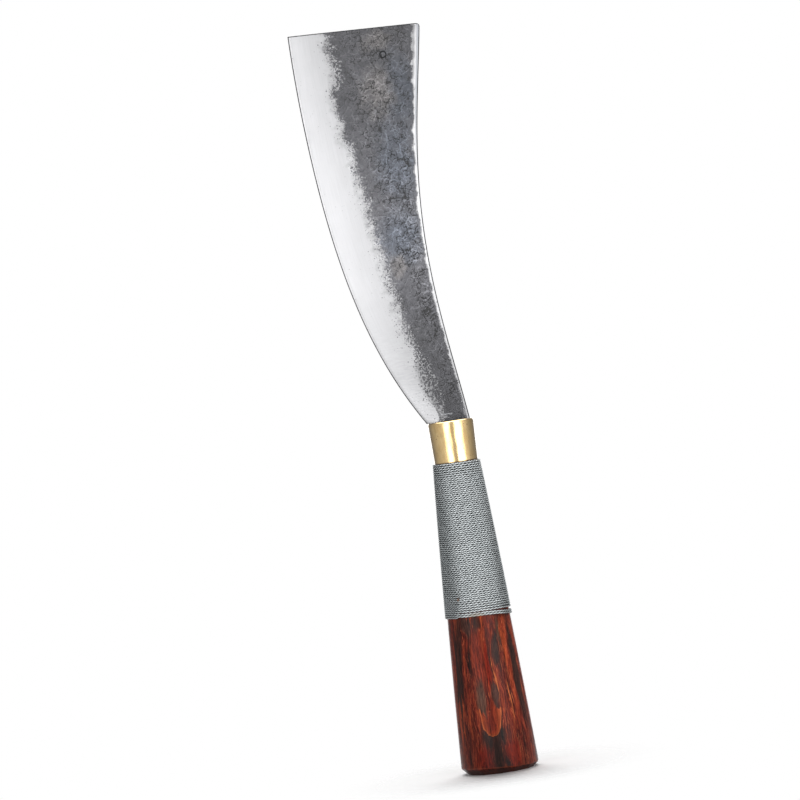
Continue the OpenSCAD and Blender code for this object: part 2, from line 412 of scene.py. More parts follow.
def up_the_blade(steel, z):
    """Share of the blade's height."""
    return steel.math("DIVIDE", steel.less(z, MOUTH_Z), BLADE_HEIGHT)


def worn_through(steel, worn):
    """Share of bare steel: specks and curls of it out in the scale, and pits of scale left in it."""
    place = steel.place
    curled = steel.shaken(place, 0.45, 1.0)
    specks = steel.waver(curled, 1.0, detail=3, roughness=0.7)
    torn = steel.patch(place, *TORN_PATCH, 0.5, lean=-16)
    restless = steel.eased(steel.noise(place, 0.045), 0.4, 0.62, 8, 20)
    curls = steel.seams(curled, 0.55, 0.03, 0.16)
    curls = steel.times(curls, steel.eased(steel.noise(place, 0.5), 0.36, 0.6, 0.5, 1.2))
    broken = steel.times_plus(specks, restless, worn)
    broken = steel.times_plus(curls, steel.eased(torn, 0, 1, 1.5, 7.5), broken)
    bare = steel.eased(broken, -1.1, 1.7)

    sparks = steel.some_of(steel.spots(steel.shaken(place, 1.2, 0.4), 0.6, 0.28, 0.44), 0.45, 0.47, 0.53)
    sparks = steel.times(sparks, steel.patch(place, *SPARK_PATCH, 0.25, lean=-3))

    pit_reach = steel.eased(worn, -2, 9, 0.3, 0.0)
    pit_reach = steel.times_plus(steel.waver(place, 0.5), 0.75, pit_reach)
    pit_reach = steel.times_plus(torn, 0.16, pit_reach)
    off_pit = steel.less(steel.cells(curled, 0.74), pit_reach)
    bare = steel.times(bare, steel.eased(off_pit, -0.06, 0.06, 0.12, 1))
    return steel.either(steel.times(bare, steel.eased(torn, 0.1, 0.7, 1, 0.74)), sparks)


def forge_scale(steel, worn):
    """Colour and height of the scale: hammered facets, painted highlights along ridges with painted shade
    beside them, and pits.
    """
    place = steel.place
    x, _, z = steel.parts(place)
    share = up_the_blade(steel, z)
    rough_by_height = steel.grey_ramp(
        share, (0, 0.7), (0.14, 0.7), (0.25, 0.95), (0.45, 1), (0.62, 0.72), (0.8, 0.62), (1, 0.6)
    )
    rough = steel.times(steel.eased(worn, -12, -4, 1.7, 0.5), rough_by_height)

    bent = steel.shaken(place, 0.22, 2.2)
    beside = steel.vector("ADD", bent, (0.38, 0, -0.38))
    curled = steel.shaken(place, 0.5, 1.3)
    beside_curl = steel.vector("ADD", curled, (0.3, 0, -0.3))
    facet = steel.less(steel.cells(bent, FACETS_PER_MM, output="Color"), 0.5)
    dish = steel.cells(bent, FACETS_PER_MM)
    # Painted relief: the light lines on the facets' ridges are painted highlights, and the dark lines set a
    # little aside from them and from the curls are painted shade
    ridge_highlights = steel.some_of(steel.seams(bent, FACETS_PER_MM, 0.015, 0.06), 0.13, 0.42, 0.58)
    crease_shade = steel.some_of(steel.seams(beside, FACETS_PER_MM, 0.02, 0.08), 0.21, 0.46, 0.56, detail=3)
    hairs = steel.some_of(steel.seams(steel.shaken(place, 0.9, 0.8), 0.7, 0.03, 0.13), 0.42, 0.48, 0.58)
    curls = steel.some_of(steel.seams(curled, 0.36, 0.03, 0.11), 0.3, 0.48, 0.58)
    hook_shade = steel.some_of(steel.seams(beside_curl, 0.36, 0.03, 0.11), 0.27, 0.45, 0.55, detail=3)
    mottle = steel.waver(place, 0.9, detail=4, roughness=0.7)
    clouds = steel.waver(place, 0.16)
    pit_reach = steel.plus(steel.waver(place, 0.3), 0.07)
    pits = steel.eased(steel.less(steel.cells(curled, 0.45), pit_reach), -0.04, 0.04, 1, 0)

    marks = steel.times(ridge_highlights, 1.1)
    for mark, strength in (
        (curls, 0.9), (hairs, 0.7), (crease_shade, -0.55), (hook_shade, -1.1), (facet, 0.35), (pits, -0.9)
    ):
        marks = steel.times_plus(mark, strength, marks)
    factor = steel.times_plus(marks, rough, 1.0)
    factor = steel.times_plus(mottle, steel.eased(rough, 0.25, 1.2, 0.9, 2.0), factor)
    factor = steel.either(steel.times_plus(clouds, 0.8, factor), 0.06)

    by_height = steel.grey_ramp(
        share, (0, 0.41), (0.16, 0.5), (0.3, 0.82), (0.45, 1.27), (0.62, 1.01), (0.8, 0.67), (1, 0.56)
    )
    tone = colour(96, 96, 100)
    wander = steel.shaken(place, 0.16, 5)
    for patches, soft, most, shade in (
        (BLUE_PATCHES, 0.6, 0.55, BLUISH_GREY), (WARM_PATCHES, 0.5, 0.8, WARM_GREY)
    ):
        for middle, reach in patches:
            tinted = steel.times(steel.patch(wander, middle, reach, soft), most)
            tone = steel.mixed(tinted, tone, colour(*shade))
    tone = steel.shaded(steel.shaded(tone, by_height), factor)

    level = steel.times_plus(steel.waver(place, 0.4), 1.2, z)
    seat_line = steel.close_to(level, SEAT_LINE_Z, 0.15, 0.5)
    seat_line = steel.times(seat_line, steel.close_to(x, SEAT_LINE_X, 2.8, 4))
    tone = steel.mixed(steel.times(seat_line, 0.7), tone, colour(176, 178, 182))
    height = steel.times_plus(mottle, 0.6, steel.times(steel.times(marks, rough), 0.35))
    height = steel.times_plus(steel.times(dish, dish), steel.times(rough, 2.2), height)
    return tone, height


def ground_satin(steel, worn):
    """Colour of the ground steel, and the fine lines that the wheel leaves in it."""
    place = steel.place
    from_edge = steel.attribute("from_edge")
    x, _, z = steel.parts(place)
    along = steel.point(from_edge, steel.times(z, 0.03), 0.0)
    across = steel.point(steel.times(x, 0.14), z, 0.0)
    lines_along = steel.noise(along, 1.7, detail=3, roughness=0.6)
    lines_across = steel.noise(across, 1.3, detail=3, roughness=0.6)
    low_down = steel.eased(z, 235, 275, 1, 0)
    lines_along = steel.times(lines_along, steel.less(1, low_down))
    lines = steel.less(steel.plus(steel.times(lines_across, low_down), lines_along), 0.5)

    factor = steel.times_plus(lines, steel.eased(low_down, 0, 1, 0.2, 0.4), 1.0)
    factor = steel.times_plus(steel.waver(place, 0.06, detail=3), 0.16, factor)
    specks = steel.eased(steel.cells(steel.shaken(place, 0.4, 2), 0.14), 0.02, 0.06, 0.5, 1)
    factor = steel.times(factor, specks)
    veil = steel.times_plus(steel.waver(place, 0.35, detail=3), 9, worn)
    greyed = steel.times(steel.eased(veil, -1, 4.5, 0.3, 0), steel.eased(z, 236, 262))
    factor = steel.times(factor, steel.less(1, greyed))
    # The honed strip along the cutting edge is painted darker: painted shade for the dark that it reflects
    factor = steel.times(factor, steel.eased(from_edge, 0.8, 2.2, 0.72, 1))
    toe_ring = steel.times(steel.close_to(worn, 1.5, 0.2, 0.6, 0.4), steel.eased(z, 207, 212, 1, 0))
    factor = steel.times(factor, steel.less(1, toe_ring))

    by_height = steel.grey_ramp(
        up_the_blade(steel, z), (0, 0.5), (0.12, 0.58), (0.35, 0.9), (0.6, 0.96), (1, 0.79)
    )
    return steel.shaded(steel.shaded(colour(193, 193, 195), by_height), factor), lines


def forged_steel():
    """Dark forge scale, worn through to satin steel where the wheel has ground it."""
    steel = Finish("forged_steel")
    z = steel.parts(steel.place)[2]
    worn = steel.attribute("worn")
    for start, end, low, high in WEAR_BY_HEIGHT:
        worn = steel.plus(worn, steel.eased(z, start, end, low, high))
    to_spine = steel.attribute("to_spine")
    spine_share = steel.attribute("spine_share")
    bright = worn_through(steel, worn)
    scale_skin, rough_height = forge_scale(steel, worn)
    satin, lines = ground_satin(steel, worn)
    # The ground steel on the spine's chamfer is painted darker: painted shade for a dimmer reflection
    satin = steel.shaded(satin, steel.eased(spine_share, 0.95, 1.1, 0.67, 1))

    base = steel.mixed(bright, scale_skin, satin)
    # The steep outer part of the spine's chamfer, towards the tip, is painted dark grey: painted shade for
    # the dark that it would reflect
    painted_chamfer_shade = steel.times(steel.eased(spine_share, 0.4, 0.5, 1, 0), steel.eased(z, 330, 380))
    painted_chamfer_shade = steel.times(painted_chamfer_shade, steel.eased(to_spine, 0.3, 0.6))
    base = steel.mixed(steel.times(painted_chamfer_shade, 0.85), base, colour(109, 111, 115))
    # Painted dark outline along the cutting edge, the tip, the spine's corner, the seat at the ferrule's
    # mouth and the ring's groove: painted shade
    painted_spine_line = steel.close_to(to_spine, 0, 0.35, 0.65)
    outline = steel.either(steel.eased(steel.attribute("rim"), 0.3, 0.7, 1, 0), painted_spine_line)
    base = steel.mixed(outline, base, colour(18, 19, 21))

    relief = steel.bump(steel.times(rough_height, steel.less(1, bright)), 0.3)
    relief = steel.bump(steel.times(lines, bright), 0.012, relief)
    relief = steel.bump(bright, 0.05, relief)
    bare = steel.times(bright, steel.less(1, outline))
    return steel.done(
        Base_Color=base,
        Metallic=steel.times(bare, 0.75),
        Roughness=steel.either(steel.eased(bright, 0, 1, 0.4, 0.3), steel.times(outline, 0.8)),
        Specular_IOR_Level=0.36,
        Normal=relief,
    )


# Brass, wood, twine and resin

def polished_brass():
    """Handled brass, with duller and browner blotches, small spots and a dark line at either rim."""
    brass = Finish("polished_brass")
    place = brass.place
    z = brass.parts(place)[2]
    blotches = brass.noise(brass.scaled(place, 1, 1, 0.5), 0.3, detail=4, roughness=0.65)
    metal = brass.ramp(blotches, (0.34, colour(218, 180, 112)), (0.62, colour(236, 203, 140)))
    tarnish = brass.eased(brass.noise(brass.scaled(place, 1, 1, 0.35), 0.55, detail=3), 0.5, 0.7, 0, 0.35)
    metal = brass.mixed(tarnish, metal, colour(190, 164, 104))
    spots = brass.some_of(brass.spots(brass.shaken(place, 0.5, 0.8), 0.36, 0.09, 0.16), 0.22, 0.46, 0.52)
    metal = brass.mixed(brass.times(spots, 0.75), metal, colour(128, 92, 44))
    specks = brass.some_of(brass.spots(brass.shaken(place, 0.9, 0.5), 0.9, 0.08, 0.2), 0.4, 0.52, 0.6)
    metal = brass.mixed(brass.times(specks, 0.4), metal, colour(140, 116, 70))
    low_rim = brass.eased(z, SHOULDER_Z + 0.3, SHOULDER_Z + 0.9, 1, 0)
    mouth_rim = brass.eased(z, MOUTH_Z - 0.2, MOUTH_Z - 0.02)
    rims = brass.times(brass.either(low_rim, mouth_rim), 0.7)
    metal = brass.mixed(rims, metal, colour(120, 92, 54))
    rubbed = brass.noise(brass.scaled(place, 1, 1, 3), 0.9, detail=3)
    waves = brass.noise(brass.scaled(place, 1, 1, 0.6), 0.22)
    return brass.done(
        Base_Color=metal,
        Metallic=1.0,
        Roughness=brass.eased(rubbed, 0.3, 0.7, 0.1, 0.17),
        Coat_Weight=0.9,
        Coat_Roughness=0.2,
        Coat_IOR=1.8,
        Normal=brass.bump(rubbed, 0.012, brass.bump(waves, 0.12)),
    )


# Figure on the front of the handle: middle in x and z, half width and half height, lean, and tone.
# The places are as if the handle were as wide as its butt all the way up.
NEARLY_BLACK = (37, 25, 22)
DARK_BROWN = (56, 38, 33)
GREY_BROWN = (72, 49, 39)
DEEP_RED = (108, 29, 18)
RUSSET = (106, 38, 26)
ORANGE = (140, 60, 35)
PALE_ORANGE = (172, 92, 54)
FIGURE = (
    (-17.7, 63, 2.7, 34, 4.6, NEARLY_BLACK),
    (-20.6, 24, 0.8, 20, 2, ORANGE),
    (-10.5, 85, 3.6, 6, 0, DARK_BROWN),
    (-2.7, 86, 2.3, 6.5, 0, NEARLY_BLACK),
    (-3.8, 65, 4.0, 15, 0, RUSSET),
    (1.4, 60, 1.7, 14, 0, DEEP_RED),
    (7.4, 69, 1.8, 8, 0, NEARLY_BLACK),
    (11.2, 80, 1.8, 8, 0, GREY_BROWN),
    (13.8, 74, 1.5, 14, 0, ORANGE),
    (18.9, 57, 2.2, 34, -2.2, NEARLY_BLACK),
    (4.5, 52, 0.45, 14, 0, PALE_ORANGE),
    (12.2, 40, 0.45, 12, 0, PALE_ORANGE),
    (-14.2, 31, 0.5, 9, 0, ORANGE),
    (-17.9, 31, 0.45, 13, 0, ORANGE),
    (-6.2, 43, 3.2, 9, 0, GREY_BROWN),
    (2.5, 44, 2.0, 8, 0, DARK_BROWN),
    (-8.5, 9, 4.6, 7, 0, DEEP_RED),
    (8.5, 10, 4, 8, 0, DEEP_RED),
    (-1.5, 22.5, 8.4, 7.4, 0, NEARLY_BLACK),
    (0.6, 8, 3.6, 10.5, 0, NEARLY_BLACK),
)
FLAME_MIDDLE = (-1.9, 31.5)
FLAME_REACH = (6.4, 9.2)
FLAME_TOP = 36.5
FLAME_ROUNDNESS = 2.4
FIGURE_DEPTH = 8
FLAME_DEPTH = 9
FIGURE_SHARE = 0.88
# Height of the lowest turn in front and at the right, beside which the wood gets a painted shadow
LAST_TURN_Z = (90.2, 87.8)
# Heights over which the painted shade on the wood under the twine comes in
UNDER_TWINE_Z = (92.2, 93.2)


def wood_flame(wood, swayed):
    """Where the flame figure lies, round below and spiked above, and its tone, palest at its edge."""
    (middle_x, middle_z), (half_w, half_h) = FLAME_MIDDLE, FLAME_REACH
    x, y, z = wood.parts(swayed)
    fallen = wood.either(wood.math("DIVIDE", wood.less(middle_z, z), half_h), 0)
    down = wood.times(wood.math("POWER", fallen, FLAME_ROUNDNESS), half_h)
    off = wood.off_middle(wood.point(x, y, down), (middle_x, -BUTT_R, 0), (half_w, FLAME_DEPTH, half_h))
    flame = wood.ramp(
        off, (0.25, colour(92, 32, 22)), (0.6, colour(128, 50, 30)), (0.86, colour(140, 62, 36)),
        (0.94, colour(166, 86, 50)),
    )
    spiked = wood.times_plus(wood.waver(wood.scaled(swayed, 1, 1, 0.02), 0.5), -34, z)
    under_top = wood.eased(spiked, FLAME_TOP, FLAME_TOP + 1.5, 1, 0)
    return wood.times(wood.eased(off, 0.94, 1.02, 1, 0), under_top), flame


def red_hardwood():
    """Oiled dark red wood with blackish bands, orange fibres and a flame figure low on the front."""
    wood = Finish("red_hardwood")
    place = wood.place
    x, y, z = wood.parts(place)
    widening = wood.times_plus(z, 0.0028, 1.0)
    laid = wood.point(wood.times(x, widening), wood.times(y, widening), z)
    long_laid = wood.scaled(laid, 1, 1, 0.3)
    sway = wood.vector("SUBTRACT", wood.noise(long_laid, 0.16, detail=3, output="Color"), (0.5, 0.5, 0.5))
    swayed = wood.vector("MULTIPLY_ADD", sway, (6, 6, 12), laid)
    grain = wood.scaled(swayed, 1, 1, 0.07)
    bands = wood.noise(grain, 0.28, detail=3, roughness=0.6)
    fibre = wood.noise(grain, 1.2, detail=4, roughness=0.65)
    figure = wood.times_plus(wood.less(fibre, 0.5), 0.45, bands)
    tone = wood.ramp(
        figure, (0.33, colour(36, 21, 19)), (0.42, colour(62, 26, 21)), (0.5, colour(86, 31, 23)),
        (0.58, colour(106, 39, 27)), (0.7, colour(134, 58, 35)),
    )
    lines = wood.noise(wood.scaled(swayed, 1, 1, 0.05), 2.6, detail=3, roughness=0.6)
    broad_lines = wood.noise(wood.scaled(swayed, 1, 1, 0.045), 1.2, detail=2)
    threads = wood.either(wood.eased(lines, 0.6, 0.68, 0, 0.5), wood.eased(broad_lines, 0.64, 0.7, 0, 0.45))
    tone = wood.mixed(threads, tone, colour(156, 84, 52))
    ragged = wood.vector("MULTIPLY_ADD", wood.point(0, 0, wood.less(fibre, 0.5)), (0, 0, 14), swayed)
    for at_x, at_z, half_w, half_h, lean, shade in FIGURE:
        middle = (at_x, -math.sqrt(BUTT_R ** 2 - at_x ** 2), at_z)
        patch = wood.patch(ragged, middle, (half_w, FIGURE_DEPTH, half_h), lean=lean)
        tone = wood.mixed(wood.times(patch, FIGURE_SHARE), tone, colour(*shade))
    in_flame, flame = wood_flame(wood, swayed)
    tone = wood.mixed(in_flame, tone, flame)

    streaks = wood.times(wood.less(lines, 0.5), 3.4)
    streaks = wood.times_plus(wood.less(broad_lines, 0.5), 2.4, streaks)
    # Lighter towards the right, which is the wood's own tone; darker towards the bottom and lighter towards
    # the top, where the lighter top is a painted sheen
    tone_and_painted_sheen = wood.times(wood.eased(x, 2, 18, 0.92, 1.55), wood.eased(z, 4, 44, 0.55, 1.05))
    tone = wood.shaded(tone, wood.times(wood.either(wood.plus(streaks, 1.0), 0.25), tone_and_painted_sheen))
    # The knife-cut chamfer at the butt is painted dark, as painted shade on its downward faces, and the line
    # along its top gets a painted highlight
    past_cut = wood.less(z, wood.eased(x, -20, 20, *CUT_HEIGHTS))
    tone = wood.mixed(wood.eased(past_cut, -1.2, -0.2, 0.75, 0), tone, colour(46, 28, 25))
    tone = wood.mixed(wood.close_to(past_cut, 0, 0.15, 0.55, 0.2), tone, colour(132, 72, 54))
    # Painted shadow on the wood along the lowest turn
    last_turn_z = wood.eased(x, 0, 18, *LAST_TURN_Z)
    painted_turn_shadow = wood.eased(wood.less(z, last_turn_z), -1.6, 0.2, 0, 0.6)
    tone = wood.mixed(painted_turn_shadow, tone, colour(40, 14, 10))
    # Painted shade on the wood under the twine, up to the ferrule
    painted_shade_under_twine = wood.eased(z, *UNDER_TWINE_Z)
    painted_shade_under_twine = wood.times(painted_shade_under_twine, wood.eased(z, SHOULDER_Z - 1, SHOULDER_Z, 1, 0))
    tone = wood.mixed(wood.times(painted_shade_under_twine, 0.9), tone, colour(26, 27, 27))
    return wood.done(
        Base_Color=tone,
        Roughness=wood.eased(fibre, 0.3, 0.7, 0.26, 0.4),
        Specular_IOR_Level=0.11,
        Normal=wood.bump(lines, 0.03),
    )


# Brown stain on the last turns, as middle and reach
STAIN_PATCH = ((-1.5, -18.5, 90.2), (4.5, 4, 1.4))


def grey_twine():
    """Waxed grey twine with painted shade between its strands and turns and on its left and right sides, and
    burnt brown where its tail was melted.
    """
    twine = Finish("grey_twine")
    place = twine.place
    soil = twine.noise(place, 0.12, detail=3)
    thread = twine.ramp(soil, (0.3, colour(228, 235, 237)), (0.7, colour(240, 246, 248)))
    fibre = twine.noise(place, 4.0)
    thread = twine.shaded(thread, twine.times_plus(twine.less(fibre, 0.5), 0.5, 1.0))
    x = twine.parts(place)[0]
    # The winding's left and right sides are painted darker: painted shade
    painted_side_shade = twine.either(twine.eased(x, -13.5, -6, 0.55, 0), twine.eased(x, 11, 16, 0, 0.45))
    thread = twine.mixed(painted_side_shade, thread, colour(82, 88, 90))
    # Painted shade in the gaps between the turns and between the strands, made patchy by noise
    shade_patchiness = twine.waver(place, 0.7, detail=3, roughness=0.65)
    deep = twine.times_plus(shade_patchiness, 0.35, twine.attribute("sunk"))
    thread = twine.mixed(twine.eased(deep, 0.24, 0.74), thread, colour(33, 37, 38))
    stain = twine.times(twine.patch(place, *STAIN_PATCH, 0.4), 0.4)
    thread = twine.mixed(stain, thread, colour(150, 132, 104))
    thread = twine.mixed(twine.attribute("burnt"), thread, colour(84, 54, 34))
    return twine.done(Base_Color=thread, Roughness=0.42, Normal=twine.bump(fibre, 0.03))


def dark_resin():
    """Lumpy set resin."""
    resin = Finish("dark_resin")
    lumps = resin.noise(resin.place, 0.6, detail=4)
    return resin.done(
        Base_Color=resin.ramp(lumps, (0.3, colour(44, 34, 30)), (0.7, colour(70, 54, 46))),
        Roughness=resin.eased(lumps, 0.3, 0.7, 0.35, 0.6),
        Normal=resin.bump(lumps, 0.3),
    )


# Tools for the pieces

# Corners closer together than this are one
SAME_CORNER = 0.0005


def open_edges(shape):
    return [edge for edge in shape.edges if edge.is_boundary]


def tube_of_rings(rings, columns, notes):
    """A closed tube, laid out as a sheet and rolled up. rings[row][column] is a corner and its notes."""
    sheet = bmesh.new()
    sheet.loops.layers.uv.new("laid_flat")
    layers = [sheet.verts.layers.float.new(name) for name in notes]
    rows = len(rings) - 1
    bmesh.ops.create_grid(sheet, x_segments=columns, y_segments=rows, size=1, calc_uvs=True)
    for corner in sheet.verts:
        column = round((corner.co.x + 1) / 2 * columns)
        row = round((corner.co.y + 1) / 2 * rows)
        corner.co, values = rings[row][column]
        for layer, value in zip(layers, values):
            corner[layer] = value
    sides = [corner for corner in sheet.verts if corner.is_boundary]
    bmesh.ops.remove_doubles(sheet, verts=sides, dist=SAME_CORNER)
    bmesh.ops.holes_fill(sheet, edges=open_edges(sheet), sides=0)
    bmesh.ops.recalc_face_normals(sheet, faces=sheet.faces)
    return sheet


def spun(profile, steps):
    """A turned shape from its profile of radii and heights."""
    turned = bmesh.new()
    line = [turned.verts.new((r, 0, z)) for r, z in profile]
    edges = [turned.edges.new(pair) for pair in zip(line, line[1:])]
    bmesh.ops.spin(
        turned, geom=line + edges, cent=(0, 0, 0), axis=(0, 0, 1),
        angle=math.tau, steps=steps, use_merge=True,
    )
    bmesh.ops.remove_doubles(turned, verts=turned.verts, dist=SAME_CORNER)
    return turned


def mesh_of(name, shape, material):
    mesh = bpy.data.meshes.new(name)
    shape.to_mesh(mesh)
    shape.free()
    mesh.materials.append(material)
    return mesh


def in_scene(name, data):
    """An object in the scene that shows a mesh, a lamp or a camera."""
    shown = bpy.data.objects.new(name, data)
    bpy.context.scene.collection.objects.link(shown)
    return shown


def finished(name, shape, material, node, crease=35):
    """Makes a piece of a shape in millimetres. It rides on the one body and stands for its node."""
    bmesh.ops.scale(shape, vec=(MM, MM, MM), verts=shape.verts)
    mesh = mesh_of(name, shape, material)
    mesh.shade_smooth()
    mesh.set_sharp_from_angle(angle=math.radians(crease))
    piece = in_scene(name, mesh)
    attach(piece, "root")
    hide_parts(node)


# Blade

def edge_x(u):
    return -pulled(EDGE_PULL, u)


def spine_x(u):
    """Line of the spine at share u of the blade's height, drawn in round the corner of the tip."""
    rise = max(0, TIP_CORNER_R - (1 - u) * BLADE_HEIGHT)
    return pulled(SPINE_PULL, u) - (TIP_CORNER_R - math.sqrt(TIP_CORNER_R ** 2 - rise ** 2))


def bevel_root_x(u):
    """Line where the bevel meets the flat. Its toe is a quarter of an ellipse."""
    short = max(0, 1 - u * BLADE_HEIGHT / BEVEL_TOE_H)
    share = blend(BEVEL_TOE_SHARE, 1, math.sqrt(1 - short * short))
    return edge_x(u) + pulled(BEVEL_PULL, u) * share


def hammer_marks(seed, cell, depth):
    """Overlapping round dents over the blade, as a function of x and z that gives their depth."""
    chance = random.Random(seed)
    columns, rows = (range(int(low / cell), int(high / cell)) for low, high in (HAMMERED_X, HAMMERED_Z))
    dents = {}
    for column in columns:
        for row in rows:
            dents[column, row] = (
                (column + chance.uniform(0, 1)) * cell,
                (row + chance.uniform(0, 1)) * cell,
                cell * chance.uniform(0.7, 1.05),
                depth * chance.uniform(0.3, 1),
            )

    def deepest(x, z):
        column, row = math.floor(x / cell), math.floor(z / cell)
        found = 0
        for near_column in (column - 1, column, column + 1):
            for near_row in (row - 1, row, row + 1):
                dent_x, dent_z, radius, dent_depth = dents[near_column, near_row]
                far = ((x - dent_x) ** 2 + (z - dent_z) ** 2) / radius ** 2
                if far < 1:
                    found = max(found, dent_depth * (1 - far * far))
        return found

    return deepest


def chamfer_width(u):
    return pulled(SPINE_CHAMFER_PULL, u)


def past_chamfer_line(x, z, u):
    """Millimetres inside the spine's chamfer, whose inner line turns into the tip in an arc."""
    line = spine_x(u) - chamfer_width(u)
    across = x - line + CHAMFER_TURN_R
    up = CHAMFER_TURN_R - (blade_height_at(x, 1) - z)
    if across > 0 and up > 0:
        return math.hypot(across, up) - CHAMFER_TURN_R
    return x - line


class Face:
    """One face of the blade: where its forged skin lies, and how deep the wheel has cut into it."""

    def __init__(self, side, seed):
        self.side = side
        self.seed = seed
        self.broad = hammer_marks(seed, *BROAD_DENTS)
        self.small = hammer_marks(seed + 1, *SMALL_DENTS)

    def skin(self, x, z, u):
        """Half thickness of the forged skin, and the depth of its dents, heavier towards the spine."""
        root = bevel_root_x(u)
        across = (x - root) / (spine_x(u) - chamfer_width(u) - root)
        wave = noise.noise(Vector((x * SKIN_WAVES_PER_MM, z * SKIN_WAVES_PER_MM, self.seed)))
        dents = (self.broad(x, z) + self.small(x, z)) * blend(1, SPINE_DENTS, limited(across, 0, 1))
        half = blend(*SPINE_HALF, u) * blend(BEVEL_ROOT_SHARE, 1, across)
        return half + SKIN_PROUD + SKIN_WAVE * wave - dents, dents

    def bevel(self, x, u):
        """Half thickness down to which the bevel is ground, and its slope where it runs out."""
        start, root = edge_x(u) + HONED_W, bevel_root_x(u)
        full = blend(*SPINE_HALF, u) * BEVEL_ROOT_SHARE
        f = (x - start) / (root - start)
        ground = blend(HONED_HALF, full, f) + BEVEL_SWELL * math.sin(math.pi * min(f, 1))
        if f > 1:
            ground -= BEVEL_SWELL * math.pi * (f - 1)
        return ground, (full - HONED_HALF - BEVEL_SWELL * math.pi) / (root - start)

    def chamfer(self, x, u):
        """Half thickness down to which the spine's chamfer is ground."""
        off = (spine_x(u) - x) / chamfer_width(u)
        half, drop = blend(*SPINE_HALF, u), SPINE_CHAMFER_DEPTH / 2
        gentle = half - drop * (1 - off) / (1 - SPINE_CHAMFER_BREAK)
        steep = half - drop - drop * (1 - off / SPINE_CHAMFER_BREAK)
        return min(gentle, steep)

    def surface(self, x, z, u):
        """Half thickness of the finished face, and how many millimetres it is inside the ground part.

        The dents bend the line of the spine's chamfer less where the chamfer is narrow.
        """
        skin, dents = self.skin(x, z, u)
        bevel, bevel_slope = self.bevel(x, u)
        ragged = SPINE_RAGGED * limited(chamfer_width(u) - NARROW_CHAMFER, LEAST_RAGGED_SHARE, 1)
        on_chamfer = past_chamfer_line(x, z, u) + ragged * (MIDDLE_DENT - dents)
        worn = max((skin - bevel) / bevel_slope, SPINE_SHARPNESS * on_chamfer)
        return min(skin, bevel, self.chamfer(x, u)), limited(worn, -FULLY_GROUND, FULLY_GROUND)


def blade_shares():
    """Shares of the blade's height that have a ring of corners, closer together at both ends."""
    low = BEVEL_TOE_H / BLADE_HEIGHT
    high = 1 - TIP_CORNER_R / BLADE_HEIGHT
    last = 1 - TIP_EASE / BLADE_HEIGHT
    shares = [low * (1 - math.cos(math.pi / 2 * k / END_RINGS)) for k in range(END_RINGS)]
    shares += [blend(low, high, k / BLADE_RINGS) for k in range(BLADE_RINGS)]
    shares += [blend(high, last, math.sin(math.pi / 2 * k / END_RINGS)) for k in range(END_RINGS + 1)]
    return shares + [1]


def blade_height_at(x, u):
    """Height of a section at x. The sections lean more and more towards the line of the tip's end."""
    lean = -TIP_FALL / (pulled(SPINE_PULL, 1) - edge_x(1)) * u ** 3
    return MOUTH_Z + BLADE_HEIGHT * u + lean * (x - edge_x(1))


def half_section(face, u, drawn_in=0):
    """Corners of one face's ring, from the middle of the spine to the cutting edge, with their notes."""
    edge, spine = edge_x(u) + drawn_in, spine_x(u) - drawn_in
    corners = []

    def add(x, half, worn, past_spine=0):
        z = blade_height_at(x, u)
        rim = min(x - edge, blade_height_at(x, 1) - z, z - MOUTH_Z + SEAT_RIM)
        to_spine = spine - x - past_spine
        notes = (worn, x - edge, to_spine, to_spine / chamfer_width(u), rim)
        corners.append(((x, face.side * half, z), notes))

    outer = spine - SPINE_EASE
    outer_half, _ = face.surface(outer, blade_height_at(outer, u), u)
    spine_face_half = outer_half - SPINE_EASE - drawn_in
    add(spine, 0, FULLY_GROUND, spine_face_half)
    add(spine, spine_face_half / 2, FULLY_GROUND, spine_face_half / 2)
    for k in range(EASE_ROWS):
        a = math.pi / 2 * k / EASE_ROWS
        add(outer + SPINE_EASE * math.cos(a), spine_face_half + SPINE_EASE * math.sin(a), FULLY_GROUND)
    for k in range(FACE_ROWS + 1):
        x = blend(outer, edge + HONED_W, k / FACE_ROWS)
        half, worn = face.surface(x, blade_height_at(x, u), u)
        add(x, half - drawn_in, worn)
    add(edge, max(EDGE_HALF - drawn_in, 0.02), FULLY_GROUND)
    return corners


def tang_half_section(z, reach_edge, reach_spine, half, side):
    """As many corners of the tang's side, its long edges eased."""
    corners = []
    for k in range(HALF_ROWS + 1):
        x = blend(reach_spine, -reach_edge, k / HALF_ROWS)
        ease = min(1, TANG_EDGE_SHARE + min(reach_spine - x, x + reach_edge) / TANG_EASE)
        corners.append(((x, side * half * (ease if k else 0), z), TANG_NOTES))
    return corners


def blade():
    """One forging: tang, shoulder and blade as one sheet of rings, rolled round from the spine."""
    front, back = Face(-1, 11), Face(1, 31)
    halves = []
    for z, reaches in ((TANG_END_Z, TANG_END), (TANG_NECK_Z, TANG_NECK), (MOUTH_Z, TANG_MOUTH)):
        halves.append([tang_half_section(z, *reaches, side) for side in (-1, 1)])
    for u in blade_shares():
        drawn_in = TIP_EASE if u == 1 else 0
        halves.append([half_section(face, u, drawn_in) for face in (front, back)])
    rings = [front_half + back_half[::-1] for front_half, back_half in halves]
    shape = tube_of_rings(rings, 2 * HALF_ROWS + 1, BLADE_NOTES)
    strike_ring(shape)
    finished("forged_blade", shape, forged_steel(), "blade")


